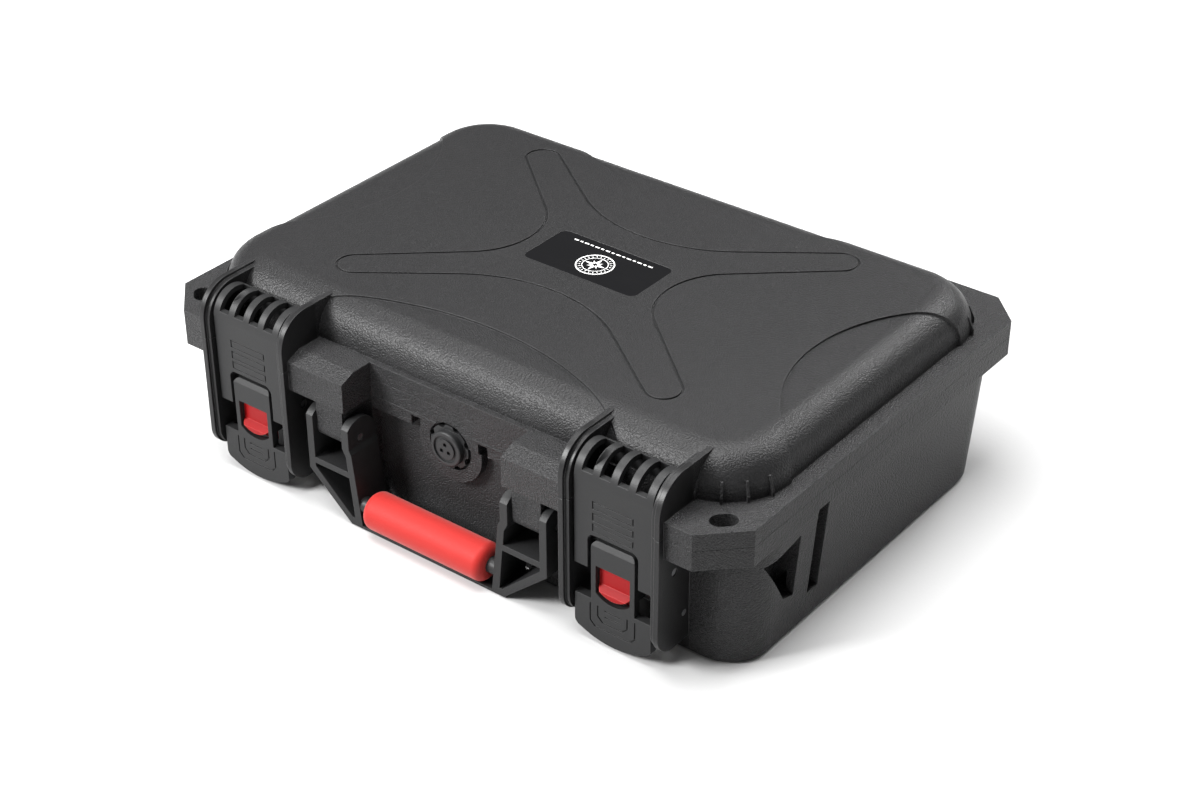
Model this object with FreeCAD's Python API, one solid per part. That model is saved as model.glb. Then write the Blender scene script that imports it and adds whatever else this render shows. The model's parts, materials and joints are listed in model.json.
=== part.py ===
import FreeCAD, Part
import math
import os

# Hard carrying case for a small camera drone, standing on its base.
# Millimetres. X is the case's width, the front with the handle and latches faces -Y, +Z is up.
# The origin is the centre of the footprint, on the surface that the case stands on.

# ---- overall ----
HEIGHT = 107.5             # top of the lid
RIM_HALF_X = 180.0         # the rim that runs round both shells
RIM_HALF_Y = 133.2
RIM_TOP = 86.5
RIM_BOTTOM = 66.7
PARTING = 77.5
PARTING_GAP = 0.12         # each shell stops this far from the parting plane
FRONT_CHAMFER = 20.0
BACK_CHAMFER = 17.0

# ---- lid dome ----
DOME_HALF_X = 172.0
DOME_FRONT = -110.6
DOME_BACK = 115.6
DOME_CORNER = 36.0
DOME_EDGE = 19.0
SCOOP_DEPTH = 1.2
SCOOP_FRONT_R = 174.5
SCOOP_FRONT_REACH = 76.8   # distance of the scoop's crease from the dome's middle, front and back
SCOOP_SIDE_R = 91.9
SCOOP_SIDE_REACH = 132.5
SCOOP_MIDDLE_Y = 3.0
LID_WALL = 3.5
LID_CAVITY_HALF_X = 168.0
LID_CAVITY_FRONT = -104.2
LID_CAVITY_BACK = 111.4
LID_CAVITY_CORNER = 31.0

# ---- base ----
BODY_TOP_HALF_X = 179.8
BODY_FLOOR_HALF_X = 174.5
BODY_FRONT = -112.6
BODY_BACK = 110.0
BODY_DRAFT_Y = 0.6
BODY_CORNER = 24.0
BODY_EDGE = 3.5
WALL = 3.0
LEDGE_THICK = 6.0
OPENING_HALF_X = 168.0
OPENING_FRONT = -104.2
OPENING_BACK = 106.6
OPENING_CORNER = 31.0

# ---- front recess between the handle's arms ----
RECESS_HALF_X = 50.5
RECESS_WALL = -106.7
BAND_FACE = -112.4
BAND_BOTTOM = 60.5

# ---- handle ----
HANDLE_FRONT = -133.0
HANDLE_BACK = -113.0
HANDLE_PIVOT_Y = -124.2
HANDLE_PIVOT_Z = 49.3
HANDLE_EYE_R = 11.3
HANDLE_HALF_X = 77.0
HANDLE_INNER = 48.7
HANDLE_WALL = 4.3
LUG_FRONT = -130.5
LUG_INNER = 54.4
LUG_OUTER = 71.9
PIN_R = 2.0
GRIP_R = 10.3
GRIP_HALF = 38.5
GRIP_Y = -128.5
GRIP_Z = 12.8
BAR_R = 4.2

# ---- latches ----
LATCH_X = 115.8
CLASP_HALF = 22.4
CLASP_FACE = -132.7
CLASP_THICK = 3.0
CLASP_BOTTOM = 42.2
CROWN_Y = -119.5           # centre of the clasp's rounded crown
CROWN_Z = 90.4
CROWN_R = 13.2
WINDOW_HALF = 14.6
WINDOW_TOP = 61.7
CHEEK_IN = 23.5            # cheeks, measured from the latch's own middle
CHEEK_MID = 26.0
CHEEK_OUT = 28.8
CHEEK_FRONT = -136.6
CHEEK_STEP = 1.5
CHEEK_BOTTOM = 10.5
LEVER_HALF = 12.6
LEVER_TOP = 58.3
TAB_HALF = 22.2
TAB_TOP = 25.0
TAB_BOTTOM = 1.6
PIVOT_Y = -124.3           # lever on the base
PIVOT_Z = 54.0
LINK_Y = -128.6            # clasp on the lever
LINK_Z = 47.0
LINK_R = 1.25
CATCH_Y = -116.0
CATCH_Z = 26.0
CATCH_R = 1.75
BUTTON_LEDGE_Z = 33.4      # the button's ledge, at its two sides

# ---- rear hinge ----
HINGE_Y = 135.1
HINGE_Z = 77.5
KNUCKLE_R = 3.7
HINGE_X = 92.0
HINGE_HALF = 26.0
KNUCKLE_HALF = 11.0
HINGE_PIN_R = 1.6

# ---- valve ----
VALVE_Z = 57.0
VALVE_BOSS_R = 20.0
VALVE_BOSS_FACE = -111.7
VALVE_SEAT = -109.0
KNOB_R = 12.0
KNOB_CAP_R = 9.6
NUT_R = 11.0
RUNNING = 0.05             # radial clearance of a pin in the part that turns on it


def vec(x, y, z):
    return FreeCAD.Vector(x, y, z)


def box(x0, y0, z0, x1, y1, z1):
    return Part.makeBox(x1 - x0, y1 - y0, z1 - z0, vec(x0, y0, z0))


def rod_x(x0, x1, y, z, r):
    return Part.makeCylinder(r, x1 - x0, vec(x0, y, z), vec(1, 0, 0))


def rod_y(y0, y1, x, z, r):
    return Part.makeCylinder(r, y1 - y0, vec(x, y0, z), vec(0, 1, 0))


def rod_z(z0, z1, x, y, r):
    return Part.makeCylinder(r, z1 - z0, vec(x, y, z0), vec(0, 0, 1))


def outline(start, *steps):
    """A closed wire. A step is a point for a straight run, or (middle, end) for an arc."""
    edges = []
    here = start
    for step in steps + (start,):
        if isinstance(step, tuple):
            middle, end = step
            edges.append(Part.Arc(here, middle, end).toShape())
            here = end
        elif step.distanceToPoint(here) > 1e-6:
            edges.append(Part.LineSegment(here, step).toShape())
            here = step
    return Part.Wire(edges)


def prism(wire, direction):
    return Part.Face(wire).extrude(direction)


def side_prism(x0, x1, start, *steps):
    """A prism along X from an outline in (y, z)."""
    def place(p):
        return vec(x0, p[0], p[1])

    placed = [(place(s[0]), place(s[1])) if isinstance(s[0], tuple) else place(s) for s in steps]
    return prism(outline(place(start), *placed), vec(x1 - x0, 0, 0))


def front_prism(y0, y1, start, *steps):
    """A prism along Y from an outline in (x, z)."""
    def place(p):
        return vec(p[0], y0, p[1])

    placed = [(place(s[0]), place(s[1])) if isinstance(s[0], tuple) else place(s) for s in steps]
    return prism(outline(place(start), *placed), vec(0, y1 - y0, 0))


def rounded_rectangle(x0, y0, x1, y1, r, z):
    """A wire of four runs and four quarter arcs."""
    edges = []
    corners = ((x1 - r, y1 - r, 0), (x0 + r, y1 - r, 90), (x0 + r, y0 + r, 180), (x1 - r, y0 + r, 270))
    arcs = []
    for cx, cy, start in corners:
        points = []
        for turn in (0, 45, 90):
            a = math.radians(start + turn)
            points.append(vec(cx + r * math.cos(a), cy + r * math.sin(a), z))
        arcs.append(points)
    for i, points in enumerate(arcs):
        edges.append(Part.Arc(*points).toShape())
        edges.append(Part.LineSegment(points[2], arcs[(i + 1) % 4][0]).toShape())
    return Part.Wire(edges)


def block(x0, y0, z0, x1, y1, z1, r):
    """An upright block with rounded vertical edges."""
    return prism(rounded_rectangle(x0, y0, x1, y1, r, z0), vec(0, 0, z1 - z0))


def tub(low, high, z0, z1):
    """A drafted block between two rounded rectangles, each (x0, y0, x1, y1, r)."""
    wires = [rounded_rectangle(*low, z0), rounded_rectangle(*high, z1)]
    return Part.makeLoft(wires, True, True)


def edges_at(shape, z, tolerance=0.05):
    """The edges that lie wholly at height z."""
    found = []
    for e in shape.Edges:
        b = e.BoundBox
        if abs(b.ZMin - z) < tolerance and abs(b.ZMax - z) < tolerance:
            found.append(e)
    return found


def mirror_x(shape):
    return shape.mirror(vec(0, 0, 0), vec(1, 0, 0))


def fuse(*shapes):
    return shapes[0].fuse(list(shapes[1:])).removeSplitter()


def both_sides(shape):
    return [shape, mirror_x(shape)]


def single(shape):
    """The solid inside a boolean's result."""
    solids = shape.Solids
    if len(solids) != 1:
        print("expected one solid and found", len(solids), [round(s.Volume, 2) for s in solids])
    return max(solids, key=lambda s: s.Volume)


def save(name, shape):
    volume = shape.Volume / 1000
    print(f"{name:28s} solids {len(shape.Solids)}  volume {volume:8.2f} cm3  valid {shape.isValid()}")
    shape.exportStep(f"parts/{name}.step")


# ---------------------------------------------------------------- rim

def rim_plate(z0, z1):
    """The rim's chamfered plan with the front recess and the two latch bays cut out of it."""
    x = RIM_HALF_X
    y = RIM_HALF_Y
    f = FRONT_CHAMFER
    b = BACK_CHAMFER
    points = [(-x, -y + f), (-x + f, -y), (x - f, -y), (x, -y + f)]
    points += [(x, y - b), (x - b, y), (-x + b, y), (-x, y - b)]
    corners = [vec(px, py, z0) for px, py in points]
    plate = prism(outline(corners[0], *corners[1:]), vec(0, 0, z1 - z0))
    cuts = [box(-RECESS_HALF_X, -y - 1, z0 - 1, RECESS_HALF_X, BAND_FACE, z1 + 1)]
    for side in (-1, 1):
        middle = side * LATCH_X
        cuts.append(box(middle - CHEEK_IN, -y - 1, z0 - 1, middle + CHEEK_IN, DOME_FRONT, z1 + 1))
    return plate.cut(cuts)


def rim_bevels(z_top):
    """Wedges that bevel the top front edge of the blocks between the recess and the latches."""
    wedge = side_prism(
        RECESS_HALF_X - 1, LATCH_X - CHEEK_MID,
        (-RIM_HALF_Y - 1, z_top - 3.6), (-RIM_HALF_Y - 1, z_top + 1), (-RIM_HALF_Y + 9, z_top + 1),
        (-RIM_HALF_Y + 9, z_top), (-RIM_HALF_Y, z_top - 3.6))
    return both_sides(wedge)


def padlock_holes(z0, z1):
    """Obround holes through the front ears, long across the corner."""
    holes = []
    half = 2.0
    for side in (-1, 1):
        a = math.radians(45 * side)
        middle = vec(side * 164.5, -115.3, z0)
        along = vec(math.cos(a), math.sin(a), 0)
        hole = rod_z(z0, z1, middle.x + half * along.x, middle.y + half * along.y, 4.75)
        hole = hole.fuse(rod_z(z0, z1, middle.x - half * along.x, middle.y - half * along.y, 4.75))
        web = box(-half, -4.75, 0, half, 4.75, z1 - z0)
        web.rotate(vec(0, 0, 0), vec(0, 0, 1), 45 * side)
        web.translate(middle)
        holes.append(hole.fuse(web))
    return holes


def seal_track(width, z0, z1):
    """A flat ring that runs round the opening, between the rim's outer edge and the opening."""
    w = width / 2
    outer = block(-174.2 - w, -107.4 - w, z0, 174.2 + w, 118.0 + w, z1, 33 + w)
    inner = block(-174.2 + w, -107.4 + w, z0, 174.2 - w, 118.0 - w, z1, 33 - w)
    return outer.cut(inner)


def hinge_cylinders(x_from, x_to, r):
    """Hinge barrels on both stations, between two distances from each station's middle."""
    return [rod_x(c + x_from, c + x_to, HINGE_Y, HINGE_Z, r) for c in (-HINGE_X, HINGE_X)]


def hinge_room(x_from, x_to, z0, z1):
    """Room in a shell's rim for the other shell's knuckles."""
    r = KNUCKLE_R + 0.8
    return [box(c + x_from, HINGE_Y - r, z0, c + x_to, HINGE_Y + r, z1) for c in (-HINGE_X, HINGE_X)]


# ---------------------------------------------------------------- lid

def dome(inset):
    """The lid's raised top, pulled in all round by inset."""
    x = DOME_HALF_X - inset
    top = HEIGHT - inset
    body = block(-x, DOME_FRONT + inset, PARTING + 2, x, DOME_BACK - inset, top, DOME_CORNER - inset)
    return body.makeFillet(DOME_EDGE - inset, edges_at(body, top))


def scoop_tools():
    """Upright cylinders that bite a shallow lens out of the middle of each edge of the dome."""
    front = SCOOP_FRONT_REACH + SCOOP_FRONT_R
    side = SCOOP_SIDE_REACH + SCOOP_SIDE_R
    tools = [rod_z(60, 130, 0, y, SCOOP_FRONT_R) for y in (-front, front + 2 * SCOOP_MIDDLE_Y)]
    tools += [rod_z(60, 130, x, SCOOP_MIDDLE_Y, SCOOP_SIDE_R) for x in (-side, side)]
    return tools


def star_face():
    """The four-armed outline on the lid's top: rounded arm ends joined by hollow curves."""
    middle_y = 6.0
    quarter = [
        (0.0, 36.3), (26.8, 40.75), (50.8, 53.6),        # hollow curve of the long side
        (92.1, 83.9), (105.1, 82.3), (104.0, 69.6),      # arm end
        (58.46, 30.2), (48.3, 16.6), (44.7, 0.0),        # hollow curve of the short side
    ]

    def at(i, sx, sy):
        x, y = quarter[i]
        return vec(sx * x, middle_y + sy * y, HEIGHT)

    edges = []
    for sx in (-1, 1):
        for sy in (-1, 1):
            edges.append(Part.Arc(at(0, sx, sy), at(1, sx, sy), at(2, sx, sy)).toShape())
            edges.append(Part.LineSegment(at(2, sx, sy), at(3, sx, sy)).toShape())
            edges.append(Part.Arc(at(3, sx, sy), at(4, sx, sy), at(5, sx, sy)).toShape())
            edges.append(Part.LineSegment(at(5, sx, sy), at(6, sx, sy)).toShape())
            edges.append(Part.Arc(at(6, sx, sy), at(7, sx, sy), at(8, sx, sy)).toShape())
    return Part.Face(Part.Wire(Part.sortEdges(edges)[0]))


def star_groove():
    """A fine groove that follows the outline."""
    half_width = 0.75
    depth = 1.0
    face = star_face()
    ring = face.makeOffset2D(half_width).cut(face.makeOffset2D(-half_width))
    groove = ring.extrude(vec(0, 0, depth + 1))
    groove.translate(vec(0, 0, -depth))
    return groove


def label_block(grow, z0, z1):
    return block(-35.5 - grow, 6.0 - 17.6 - grow, z0, 35.5 + grow, 6.0 + 17.6 + grow, z1, 4.0 + grow)


def corner_ribs():
    """Short upright ribs at the foot of the dome's four rounded corners."""
    ribs = []
    r = DOME_CORNER
    foot = RIM_TOP - 1
    cx = DOME_HALF_X - DOME_CORNER
    for cy, first in ((DOME_FRONT + DOME_CORNER, -76), (DOME_BACK - DOME_CORNER, 19)):
        for step in range(4):
            rib = front_prism(
                -0.6, 0.6,
                (r - 6, foot), (r + 1.8, foot), (r + 1.8, foot + 4), (r - 1.2, foot + 11), (r - 6, foot + 11))
            rib.rotate(vec(0, 0, 0), vec(0, 0, 1), first + 19 * step)
            rib.translate(vec(cx, cy, 0))
            ribs += both_sides(rib)
    return ribs


def cheek_leaf(x0, x1, grow, z_low, z_high, back):
    """One leaf of a latch cheek between two heights, its front edge moved out by grow."""
    front = CHEEK_FRONT + CHEEK_STEP - grow
    foot = 12.0
    r = 18.5
    k = 1 - math.sqrt(0.5)
    top = 105.2 + grow
    profile = side_prism(
        x0, x1,
        (back, CHEEK_BOTTOM), (front + foot, CHEEK_BOTTOM),
        ((front + foot * k, CHEEK_BOTTOM + foot * k), (front, CHEEK_BOTTOM + foot)),
        (front, top - r),
        ((front + r * k, top - r * k), (front + r, top)),
        (-97.0, top), (back, top))
    return profile.common(box(x0 - 1, front - 2, z_low, x1 + 1, back + 1, z_high))


def cheeks(z_low, z_high, back):
    """The four cheeks: each a thicker inner leaf and an outer leaf that stands a little prouder."""
    leaves = []
    for side in (-1, 1):
        for face in (-1, 1):
            for near, far, grow in ((CHEEK_IN, CHEEK_MID, 0.0), (CHEEK_MID, CHEEK_OUT, CHEEK_STEP)):
                ends = sorted((side * LATCH_X + face * near, side * LATCH_X + face * far))
                leaves.append(cheek_leaf(*ends, grow, z_low, z_high, back))
    return leaves


def lid_shell():
    low = PARTING + PARTING_GAP
    outer = dome(0.0).cut(scoop_tools())
    shell = fuse(outer, dome(SCOOP_DEPTH))
    shell = shell.cut(star_groove())
    shell = shell.cut(label_block(0.15, HEIGHT - 0.8, HEIGHT + 1))
    rim = rim_plate(low, RIM_TOP).cut(rim_bevels(RIM_TOP))
    shell = fuse(shell, rim, *corner_ribs(), *cheeks(low, 120, DOME_FRONT + 16))
    barrels = hinge_cylinders(-KNUCKLE_HALF, KNUCKLE_HALF, KNUCKLE_R)
    arms = [box(c - KNUCKLE_HALF, HINGE_Y - 8, low, c + KNUCKLE_HALF, HINGE_Y, low + KNUCKLE_R - 0.4)
            for c in (-HINGE_X, HINGE_X)]
    gap = KNUCKLE_HALF + 0.3
    shell = shell.cut(hinge_room(-HINGE_HALF - 0.3, -gap + 0.3, low - 1, RIM_TOP + 1))
    shell = shell.cut(hinge_room(gap - 0.3, HINGE_HALF + 0.3, low - 1, RIM_TOP + 1))
    shell = shell.fuse(barrels + arms)
    top = HEIGHT - LID_WALL
    cavity = block(-LID_CAVITY_HALF_X, LID_CAVITY_FRONT, low - 5, LID_CAVITY_HALF_X, LID_CAVITY_BACK, top,
                   LID_CAVITY_CORNER)
    cavity = cavity.makeFillet(15.0, edges_at(cavity, top))
    shell = shell.cut(cavity)
    shell = shell.cut(box(-400, -400, -10, 400, HINGE_Y - 9, low))
    shell = shell.cut(seal_track(3.6, low - 1, low + 4.2))
    shell = shell.cut(padlock_holes(low - 2, RIM_TOP + 2))
    shell = shell.cut(hinge_cylinders(-HINGE_HALF, HINGE_HALF, HINGE_PIN_R + RUNNING))
    return single(shell.removeSplitter())


# ---------------------------------------------------------------- base

def base_body():
    low = (-BODY_FLOOR_HALF_X, BODY_FRONT + BODY_DRAFT_Y, BODY_FLOOR_HALF_X, BODY_BACK - 2 * BODY_DRAFT_Y,
           BODY_CORNER - 2)
    high = (-BODY_TOP_HALF_X, BODY_FRONT, BODY_TOP_HALF_X, BODY_BACK, BODY_CORNER)
    body = tub(low, high, 0.0, RIM_BOTTOM + 1)
    return body.makeFillet(BODY_EDGE, edges_at(body, 0.0))


def base_cavity():
    low = (-BODY_FLOOR_HALF_X + WALL, BODY_FRONT + BODY_DRAFT_Y + WALL, BODY_FLOOR_HALF_X - WALL,
           BODY_BACK - 2 * BODY_DRAFT_Y - WALL, BODY_CORNER - 2 - WALL)
    high = (-BODY_TOP_HALF_X + WALL, BODY_FRONT + WALL, BODY_TOP_HALF_X - WALL, BODY_BACK - WALL,
            BODY_CORNER - WALL)
    top = PARTING - PARTING_GAP - LEDGE_THICK
    cavity = tub(low, high, WALL, top)
    cavity = cavity.makeFillet(BODY_EDGE - WALL + 1, edges_at(cavity, WALL))
    opening = block(-OPENING_HALF_X, OPENING_FRONT, top - 1, OPENING_HALF_X, OPENING_BACK, PARTING + 3,
                    OPENING_CORNER)
    return cavity.fuse(opening)


def lug():
    """The right handle lug: a flat face that rounds under the handle's pin."""
    r = -LUG_FRONT + HANDLE_PIVOT_Y
    s = math.sqrt(0.5) * r
    return side_prism(
        LUG_INNER, LUG_OUTER,
        (LUG_FRONT, RIM_BOTTOM + 1), (LUG_FRONT, HANDLE_PIVOT_Z),
        ((HANDLE_PIVOT_Y - s, HANDLE_PIVOT_Z - s), (HANDLE_PIVOT_Y, HANDLE_PIVOT_Z - r)),
        (BODY_FRONT + 1.6, HANDLE_PIVOT_Z - r - 6), (BODY_FRONT + 1.6, RIM_BOTTOM + 1))


def strap_pocket():
    """Cuts in the right side: a tapering pocket, a slot, and the tunnel that joins them behind a bar."""
    face = RIM_HALF_X + 2
    deep = 164.0
    bar_back = 172.5
    top = 61.0
    pocket = prism(outline(
        vec(deep, -73.5, top), vec(deep, -99.5, 56.0), vec(deep, -82.0, 28.0),
        vec(deep, -73.5, 25.5)), vec(face - deep, 0, 0))
    slot = box(deep, -60.2, 18.0, face, -51.2, 68.0)
    tunnel = box(deep, -74.0, 26.0, bar_back, -51.2, 60.0)
    return [pocket, slot, tunnel]


def strap_block():
    """The thick wall round the strap pocket, inside the case."""
    top = PARTING - PARTING_GAP - LEDGE_THICK + 1
    return box(161.5, -104.0, 12.0, 180.0, -46.0, top).common(base_body())


def base_shell():
    high = PARTING - PARTING_GAP
    body = base_body()
    rim = rim_plate(RIM_BOTTOM, high)
    band = box(-RECESS_HALF_X, BAND_FACE, BAND_BOTTOM, RECESS_HALF_X, RECESS_WALL + 2, RIM_BOTTOM + 1)
    inner_wall = box(-RECESS_HALF_X - 3, BODY_FRONT + 2, 3, RECESS_HALF_X + 3, OPENING_FRONT + 0.6, high - 2)
    base_cheeks = [c.common(box(-300, -200, 0, 300, 0, high)) for c in cheeks(0, high, BODY_FRONT + 6)]
    shell = fuse(body, rim, *both_sides(lug()), *base_cheeks)
    shell = shell.cut(base_cavity())
    shell = shell.fuse([inner_wall] + both_sides(strap_block()))
    shell = shell.cut(box(-RECESS_HALF_X, -150, -1, RECESS_HALF_X, RECESS_WALL, BAND_BOTTOM + 5.7))
    boss = rod_y(VALVE_BOSS_FACE, RECESS_WALL + 1, 0, VALVE_Z, VALVE_BOSS_R)
    shell = shell.fuse([band, boss])
    for side in (-1, 1):
        x = side * 21.5
        notch = box(x - 3.0, BAND_FACE - 1, BAND_BOTTOM - 1, x + 3.0, RECESS_WALL - 0.5, BAND_BOTTOM + 5.6)
        shell = shell.cut(notch)
    shell = shell.cut(rod_y(BAND_FACE - 1, VALVE_SEAT, 0, VALVE_Z, KNOB_R + 1.2))
    shell = shell.cut(rod_y(VALVE_SEAT - 1, VALVE_SEAT + 1.7, 0, VALVE_Z, 9.3))
    shell = shell.cut(rod_y(VALVE_SEAT, -100, 0, VALVE_Z, 7.1))
    shell = shell.cut(box(-400, -400, high, 400, HINGE_Y - 9, high + 30))
    shell = shell.fuse(seal_track(2.0, high - 1, high + 0.9))
    for pocket in strap_pocket():
        shell = shell.cut(both_sides(pocket))
    shell = shell.cut(padlock_holes(RIM_BOTTOM - 2, PARTING + 2))
    gap = KNUCKLE_HALF + 0.3
    shell = shell.cut(hinge_room(-gap, gap, RIM_BOTTOM - 1, high + 5))
    for x0, x1 in ((-HINGE_HALF, -gap), (gap, HINGE_HALF)):
        shell = shell.fuse(hinge_cylinders(x0, x1, KNUCKLE_R))
        shell = shell.fuse([box(c + x0, HINGE_Y - 8, high - KNUCKLE_R + 0.4, c + x1, HINGE_Y, high)
                            for c in (-HINGE_X, HINGE_X)])
    shell = shell.cut(hinge_cylinders(-HINGE_HALF - 1, HINGE_HALF + 1, HINGE_PIN_R))
    shell = shell.cut(both_sides(rod_x(LUG_INNER - 1, LUG_OUTER + 1, HANDLE_PIVOT_Y, HANDLE_PIVOT_Z, PIN_R)))
    for side in (-1, 1):
        x0 = side * LATCH_X - CHEEK_OUT - 1
        x1 = side * LATCH_X + CHEEK_OUT + 1
        shell = shell.cut(rod_x(x0, x1, PIVOT_Y, PIVOT_Z, PIN_R))
        shell = shell.cut(rod_x(x0, x1, CATCH_Y, CATCH_Z, CATCH_R))
    return single(shell.removeSplitter())


def lid_seal():
    return single(seal_track(3.2, PARTING + PARTING_GAP + 1.0, PARTING + PARTING_GAP + 4.2))


# ---------------------------------------------------------------- handle

def handle_frame():
    """A deep frame of thin walls: two forked arms, open cells, a floor strip and the grip's bar."""
    x = HANDLE_HALF_X
    inner = HANDLE_INNER
    top = HANDLE_PIVOT_Z + HANDLE_EYE_R + 1
    shape = front_prism(
        HANDLE_FRONT, HANDLE_BACK,
        (-x, top), (-x, 24.5), (-50.0, 0.8), (50.0, 0.8), (x, 24.5), (x, top),
        (inner, top), (inner, 45.5), (inner - 1.4, 43.0), (42.5, 2.2), (-42.5, 2.2), (1.4 - inner, 43.0),
        (-inner, 45.5), (-inner, top))
    wall = x - HANDLE_WALL
    upper = front_prism(
        HANDLE_FRONT - 1, HANDLE_BACK + 1,
        (53.3, top + 1), (53.3, 45.0), (51.0, 40.5), (50.2, 32.0), (wall, 32.0), (wall, top + 1))
    lower = front_prism(
        HANDLE_FRONT - 1, HANDLE_BACK + 1,
        (49.7, 28.6), (47.3, 5.2), (48.9, 5.2), (wall, 26.6), (wall, 28.6))
    shape = shape.cut(both_sides(upper) + both_sides(lower))
    eye = rod_x(-x - 1, x + 1, HANDLE_PIVOT_Y, HANDLE_PIVOT_Z, HANDLE_EYE_R)
    arms = box(-x - 1, HANDLE_FRONT, HANDLE_PIVOT_Z, x + 1, HANDLE_BACK, top + 2)
    shape = shape.cut(arms.cut(eye))
    shape = shape.fuse(rod_x(-45.0, 45.0, GRIP_Y, GRIP_Z, BAR_R))
    shape = shape.cut(rod_x(-x - 1, x + 1, HANDLE_PIVOT_Y, HANDLE_PIVOT_Z, PIN_R + RUNNING))
    return single(shape.removeSplitter())


def handle_grip():
    sleeve = rod_x(-GRIP_HALF, GRIP_HALF, GRIP_Y, GRIP_Z, GRIP_R)
    sleeve = sleeve.makeFillet(4.5, [e for e in sleeve.Edges if e.BoundBox.XLength < 0.01])
    return single(sleeve.cut(rod_x(-GRIP_HALF - 1, GRIP_HALF + 1, GRIP_Y, GRIP_Z, BAR_R + 0.03)))


def handle_pin():
    return rod_x(HANDLE_INNER + 0.4, HANDLE_HALF_X - 0.4, HANDLE_PIVOT_Y, HANDLE_PIVOT_Z, PIN_R)


# ---------------------------------------------------------------- latch, drawn about x = 0

def clasp():
    """The plate that reaches over the rim: legs below, a rounded crown of ribs above."""
    inner = CLASP_FACE + CLASP_THICK
    lip_y = DOME_FRONT - 0.6
    a = math.acos((lip_y - CROWN_Y) / CROWN_R)
    r_in = CROWN_R - CLASP_THICK
    b = math.acos((lip_y - 2.6 - CROWN_Y) / r_in)

    def on_crown(r, angle):
        return (CROWN_Y + r * math.cos(angle), CROWN_Z + r * math.sin(angle))

    shape = side_prism(
        -CLASP_HALF, CLASP_HALF,
        (CLASP_FACE, CLASP_BOTTOM), (CLASP_FACE, CROWN_Z),
        (on_crown(CROWN_R, (math.pi + a) / 2), on_crown(CROWN_R, a)),
        (lip_y, 92.5), (lip_y - 2.6, 92.5), on_crown(r_in, b),
        (on_crown(r_in, (math.pi + b) / 2), (inner, CROWN_Z)),
        (inner, CLASP_BOTTOM))
    bosses = [box(side * 18.5 - 3.9, inner - 1, 43.4, side * 18.5 + 3.9, -126.4, 50.2) for side in (-1, 1)]
    shape = shape.fuse(bosses)
    window = front_prism(
        CLASP_FACE - 1, -120.0,
        (-WINDOW_HALF, 30), (-WINDOW_HALF, WINDOW_TOP - 4),
        ((-WINDOW_HALF + 1.17, WINDOW_TOP - 1.17), (-WINDOW_HALF + 4, WINDOW_TOP)),
        (WINDOW_HALF - 4, WINDOW_TOP),
        ((WINDOW_HALF - 1.17, WINDOW_TOP - 1.17), (WINDOW_HALF, WINDOW_TOP - 4)),
        (WINDOW_HALF, 30))
    shape = shape.cut(window)
    rib = 4.1
    slot = (2 * CLASP_HALF - 5 * rib) / 4
    for i in range(4):
        x0 = -CLASP_HALF + rib + i * (rib + slot)
        shape = shape.cut(box(x0, CLASP_FACE - 1, 94.6, x0 + slot, lip_y - 2.6, 110))
    for z in (78.5, 72.0, 66.0):
        shape = shape.cut(engraved_frame(11.8, z - 2.2, z + 2.2))
    shape = shape.cut(rod_x(-21.4, 21.4, LINK_Y, LINK_Z, LINK_R + RUNNING))
    return single(shape.removeSplitter())


def engraved_frame(half, z0, z1):
    """A fine rectangular outline sunk in the latch's front face."""
    wide = 0.7
    back = CLASP_FACE + 0.5
    outer = box(-half, CLASP_FACE - 1, z0, half, back, z1)
    return outer.cut(box(-half + wide, CLASP_FACE - 2, z0 + wide, half - wide, back + 1, z1 - wide))


def engraved_u(half, low, top):
    """A fine U sunk in the lever's tab, open at the top."""
    wide = 0.8
    chamfer = 3.0
    y = CLASP_FACE - 1
    return front_prism(
        y, CLASP_FACE + 0.6,
        (-half, top), (-half, low + chamfer), (-half + chamfer, low), (half - chamfer, low),
        (half, low + chamfer), (half, top), (half - wide, top), (half - wide, low + chamfer + 0.3),
        (half - chamfer - 0.3, low + wide), (-half + chamfer + 0.3, low + wide),
        (-half + wide, low + chamfer + 0.3), (-half + wide, top))


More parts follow.
